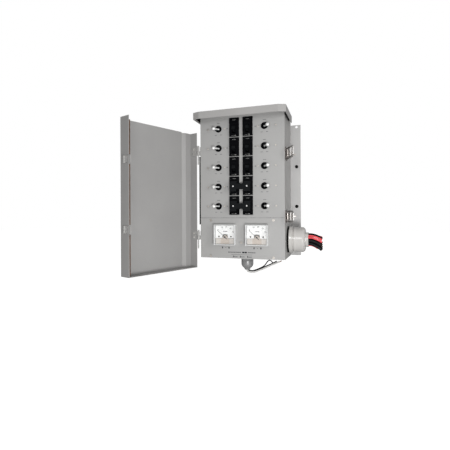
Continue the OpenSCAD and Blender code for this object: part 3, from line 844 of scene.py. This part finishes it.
FIRST_ANGLE = -45
NUMBER_STEP = 25.5
NUMBERS = ("0", "10", "20", "30", "40")
NUMBER_R = 25.6
NUMBER_SIZE = 5.2
TICK_R = 20.2
TICKS = 13
ARCH_STEPS = 12
ARCH_R = (5.1, 6.8)
ARCH_START = -77
ARCH_TURN = 14
DIAL_SCREW_X = 15.5
WING_X = 17.4
WING_HALF = 6.2
RIM_INSET = 0.25
RIM_THICK = 1.5


def number_mesh(body, size):
    """A short number as a flat mesh in the X-Y plane, centred on its origin."""
    data = bpy.data.curves.new("number", "FONT")
    data.body = body
    data.size = size
    data.align_x = "CENTER"
    data.align_y = "CENTER"
    data.extrude = INK_T / 2
    o = bpy.data.objects.new("number", data)
    scene.collection.objects.link(o)
    seen = o.evaluated_get(bpy.context.evaluated_depsgraph_get())
    mesh = bpy.data.meshes.new_from_object(seen)
    bpy.data.objects.remove(o)
    bpy.data.curves.remove(data)
    return mesh


def on_arc(side, angle, radius):
    """The x and z of a point on a dial's arc, the angle being from straight up."""
    a = math.radians(angle)
    return side * METER_X + math.sin(a) * radius * MM, PIVOT_Z + math.cos(a) * radius * MM


def make_dial_print():
    """Ticks, numbers and a word's blocks on both dials."""
    bm = bmesh.new()
    face = DIAL_Y - INK_T / 2
    for side in (-1, 1):
        about = Vector((side * METER_X, 0, PIVOT_Z))
        for k in range(TICKS):
            angle = FIRST_ANGLE + NUMBER_STEP * k / 3
            tall = 1.6 if k % 3 == 0 else 1.0
            add_box(
                bm,
                about + Vector((-0.12 * MM, face - INK_T / 2, TICK_R * MM)),
                about + Vector((0.12 * MM, face + INK_T / 2, (TICK_R + tall) * MM)),
                Matrix.Rotation(math.radians(angle), 3, "Y"),
                about,
            )
        for k, body in enumerate(NUMBERS):
            mesh = number_mesh(body, NUMBER_SIZE * MM)
            angle = FIRST_ANGLE + NUMBER_STEP * k
            x, z = on_arc(side, angle, NUMBER_R - (1.6 if k == 4 else 0))
            mesh.transform(
                Matrix.Translation((x, face, z))
                @ Matrix.Rotation(math.radians(angle * 0.6), 4, "Y")
                @ ALONG_Y
            )
            bm.from_mesh(mesh)
            bpy.data.meshes.remove(mesh)
    new_piece("dial_print", bm, INK)
    bm = bmesh.new()
    for side in (-1, 1):
        word(bm, side * METER_X, PIVOT_Z + 14.2 * MM, (2, 1.5, 1.8, 1.5, 2), 2.0, 0.5, DIAL_Y)
    new_piece("dial_words", bm, SOFT_INK)


def make_boss_arches():
    """Dark half ring along the upper edge of each movement cover."""
    bm = bmesh.new()
    for side in (-1, 1):
        about = Vector((side * METER_X, 0, PIVOT_Z))
        for k in range(ARCH_STEPS):
            add_box(
                bm,
                about + Vector((-0.85 * MM, BOSS_Y - 0.2 * MM, ARCH_R[0] * MM)),
                about + Vector((0.85 * MM, BOSS_Y + 1.0 * MM, ARCH_R[1] * MM)),
                Matrix.Rotation(math.radians(ARCH_START + ARCH_TURN * k), 3, "Y"),
                about,
            )
    new_piece("boss_arches", bm, NEEDLE)


def make_meter_trim():
    """Dark screws of the dial, pale wings beside the boss, and a thick pale frame along the cover's
    edges: painted highlight of their bright edges.
    """
    bm = bmesh.new()
    for side in (-1, 1):
        for dx in (-DIAL_SCREW_X, DIAL_SCREW_X):
            centre = (side * METER_X + dx * MM, BOSS_Y - 0.2 * MM, METER_Z - 4.6 * MM)
            add_disc(bm, centre, 1.7 * MM, 1.0 * MM, far=1.9 * MM)
    new_piece("dial_screws", bm, NEEDLE)
    bm = bmesh.new()
    low_z = METER_Z - METER_H / 2 + 3 * MM
    for side in (-1, 1):
        for edge in (-1, 1):
            x = side * METER_X + edge * WING_X * MM
            add_box(
                bm,
                (x - WING_HALF * MM, BOSS_Y - 0.35 * MM, low_z - 0.2 * MM),
                (x + WING_HALF * MM, BOSS_Y + 0.8 * MM, low_z + 13.2 * MM),
            )
    new_piece("boss_wings", bm, WING, bevel=0.3)
    # Pale frame inside each cover's edges: painted highlight of the acrylic's bright edges.
    bm = bmesh.new()
    inset, thick = RIM_INSET * MM, RIM_THICK * MM
    for side in (-1, 1):
        x0 = side * METER_X - METER_W / 2 + inset
        x1 = side * METER_X + METER_W / 2 - inset
        z0, z1 = covers_low[2] + inset, covers_high[2] - inset
        y0, y1 = covers_low[1] + inset, covers_high[1] - inset
        add_box(bm, (x0, y0, z0), (x0 + thick, y1, z1))
        add_box(bm, (x1 - thick, y0, z0), (x1, y1, z1))
        add_box(bm, (x0 + thick, y0, z0), (x1 - thick, y1, z0 + thick))
        add_box(bm, (x0 + thick, y0, z1 - thick), (x1 - thick, y1, z1))
    new_piece("cover_rim_highlights", bm, GLASS_EDGE_HIGHLIGHT)


make_dial_print()
make_boss_arches()
make_meter_trim()

# ---------- tie pins, plugs, strips of painted shade ---

TIE_TILT = 14
TIE_FACE = 19.8
HANDLE_DROP = 6.5


def make_tie_pins():
    """Pale rivet heads on the front of the ties of rows four and five."""
    for i, k in enumerate((3, 4)):
        bm = bmesh.new()
        z = CELL_TOP - k * ROW
        tilt = math.radians(TIE_TILT)
        about = Vector((0, FACE_Y + 5 * MM, z - HANDLE_DROP * MM))
        for side in (-1, 1):
            reach = (TIE_FACE + 0.3) * MM
            at = about + Vector((side * BREAKER_X, -reach * math.cos(tilt), reach * math.sin(tilt)))
            bmesh.ops.create_cone(
                bm,
                cap_ends=True,
                segments=24,
                radius1=1.9 * MM,
                radius2=1.5 * MM,
                depth=1.2 * MM,
                matrix=Matrix.Translation(at)
                @ Matrix.Rotation(-tilt, 4, "X")
                @ Matrix.Rotation(math.pi / 2, 4, "X"),
            )
        new_piece("tie_pins_%d" % (i + 1), bm, PIN, "tied_handles_%d" % (i + 1))


HOLE_X = 121.5
HOLE_HEIGHTS = (24, 130, 236)
HOLE_R = 4


def make_hole_plugs():
    """Black rubber plugs in the round wall holes; a screw goes in where one is pulled out."""
    bm = bmesh.new()
    for side in (-1, 1):
        for z in HOLE_HEIGHTS:
            x, up = side * HOLE_X * MM, BOTTOM + z * MM
            add_disc(bm, (x, -1.8 * MM, up), (HOLE_R + 0.5) * MM, 0.6 * MM, far=(HOLE_R + 0.2) * MM)
            add_disc(bm, (x, -0.9 * MM, up), (HOLE_R - 0.1) * MM, 1.4 * MM)
    new_piece("hole_plugs", bm, RUBBER_AND_SHADE)


def make_panel_seam():
    """Grey strip in the joint between the two front panels, toned as the joint's soft line of shade:
    painted shade.
    """
    bm = bmesh.new()
    mid = (panel_low[2] + meter_panel_high[2]) / 2
    add_box(
        bm,
        (-HALF_W + 0.4 * MM, FACE_Y + 0.5 * MM, mid - 0.55 * MM),
        (HALF_W - 0.4 * MM, FACE_Y + 1.4 * MM, mid + 0.55 * MM),
    )
    new_piece("panel_seam", bm, SEAM_SHADE)


# Black strips of painted shade under the hood, in millimetres from the middle, the face and the
# cabinet's bottom.
SHADE_LOW = 348.6
WALL_SHADE_X = (106.2, 108.6)
WALL_SHADE_TOP = 353
WALL_SHADE_Y = (1, 86)
SKIRT_SHADE_X = (110.6, 111.9)
SKIRT_SHADE_TOP = 359
SKIRT_SHADE_Y = (-30, 70)


def make_hood_shade_strips():
    """Black strips beside the cabinet's side walls and on the inside of the hood's skirts: painted
    shade under the hood.
    """
    bm = bmesh.new()
    shade_strips = ((WALL_SHADE_X, WALL_SHADE_Y, WALL_SHADE_TOP), (SKIRT_SHADE_X, SKIRT_SHADE_Y, SKIRT_SHADE_TOP))
    for side in (-1, 1):
        for across, deep, top in shade_strips:
            x0, x1 = sorted((side * across[0] * MM, side * across[1] * MM))
            low, high = BOTTOM + SHADE_LOW * MM, BOTTOM + top * MM
            add_box(bm, (x0, FACE_Y + deep[0] * MM, low), (x1, FACE_Y + deep[1] * MM, high))
    new_piece("hood_shade_strips", bm, RUBBER_AND_SHADE, bevel=0.3)


# The hinge axis is in millimetres from the cabinet's middle and face.
# The brown strip of painted shade is in millimetres from that axis, with the door shut.
HINGE = (-110.5, -4.5)
DOOR_ANGLE = 112
BROWN_SHADE_X = (212.4, 216.25)
BROWN_SHADE_Y = (-14, -6.2)
KEEPER_HALF = 8.2


def make_door_edge_shade():
    """Dark brown strip inside the door's free edge, painted shade for the gap behind the flange; cut
    away beside the keepers.
    """
    bm = bmesh.new()
    turn = Matrix.Rotation(math.radians(-DOOR_ANGLE), 3, "Z")
    about = Vector((HINGE[0] * MM, FACE_Y + HINGE[1] * MM, 0))
    low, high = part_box("door_panel")
    keep_low, keep_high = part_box("door_keepers")
    half = KEEPER_HALF * MM
    cut = half + 2 * MM
    lower, upper = keep_low[2] + half, keep_high[2] - half
    spans = (
        (low[2] + 4 * MM, lower - cut),
        (lower + cut, upper - cut),
        (upper + cut, high[2] - 9 * MM),
    )
    for z0, z1 in spans:
        add_box(
            bm,
            Vector((about.x + BROWN_SHADE_X[0] * MM, about.y + BROWN_SHADE_Y[0] * MM, z0)),
            Vector((about.x + BROWN_SHADE_X[1] * MM, about.y + BROWN_SHADE_Y[1] * MM, z1)),
            turn,
            about,
        )
    new_piece("door_edge_shade", bm, BROWN_SHADE, "door", bevel=0.4)


make_tie_pins()
make_hole_plugs()
make_panel_seam()
make_hood_shade_strips()
make_door_edge_shade()

# ---------- stage, light, finish ----------


def make_stage():
    """White floor below the object, unseen by its bounced and mirrored light."""
    bm = bmesh.new()
    bmesh.ops.create_grid(bm, x_segments=1, y_segments=1, size=6)
    mesh = bpy.data.meshes.new("floor")
    bm.to_mesh(mesh)
    bm.free()
    white = card("floor_white", (0.90, 0.90, 0.90), 0.01)
    shader = white.node_tree.nodes["Principled BSDF"]
    shader.inputs["Emission Color"].default_value = (1, 1, 1, 1)
    shader.inputs["Emission Strength"].default_value = 0.8
    mesh.materials.append(white)
    o = bpy.data.objects.new("floor", mesh)
    o.location = (0, 0, cad_box[0][2] - 0.16)
    o.visible_diffuse = False
    o.visible_glossy = False
    scene.collection.objects.link(o)


def area(name, place, target, size, power):
    """An area light at a place, turned to a target."""
    data = bpy.data.lights.new(name, "AREA")
    data.shape = "RECTANGLE"
    data.size, data.size_y = size
    data.energy = power
    o = bpy.data.objects.new(name, data)
    o.location = place
    o.rotation_euler = (Vector(target) - Vector(place)).to_track_quat("-Z", "Y").to_euler()
    scene.collection.objects.link(o)


KEY_PLACE = (0.36, -1.0, -0.34)
KEY_POWER = 9.5
TOP_PLACE = (0.0, -1.25, 0.22)
TOP_POWER = 1.3
RIGHT_PLACE = (0.85, -0.75, 0.12)
RIGHT_POWER = 3
AMBIENT = 0.32


def make_light():
    """White studio: pure white behind the object, a dimmer even fill, and three area lights."""
    world = bpy.data.worlds.new("studio")
    world.use_nodes = True
    tree = world.node_tree
    fill = tree.nodes["Background"]
    fill.inputs["Color"].default_value = (1, 1, 1, 1)
    fill.inputs["Strength"].default_value = AMBIENT
    back = tree.nodes.new("ShaderNodeBackground")
    back.inputs["Color"].default_value = (1, 1, 1, 1)
    back.inputs["Strength"].default_value = 1.0
    path = tree.nodes.new("ShaderNodeLightPath")
    pick = tree.nodes.new("ShaderNodeMixShader")
    tree.links.new(path.outputs["Is Camera Ray"], pick.inputs[0])
    tree.links.new(fill.outputs[0], pick.inputs[1])
    tree.links.new(back.outputs[0], pick.inputs[2])
    tree.links.new(pick.outputs[0], tree.nodes["World Output"].inputs["Surface"])
    scene.world = world
    area("key", KEY_PLACE, (0, -0.12, 0), (0.3, 0.3), KEY_POWER)
    area("top", TOP_PLACE, (-0.05, -0.2, 0), (0.2, 0.2), TOP_POWER)
    area("right", RIGHT_PLACE, (0.1, -0.1, -0.05), (0.12, 0.5), RIGHT_POWER)
    scene.view_settings.view_transform = "Standard"


make_stage()
make_light()
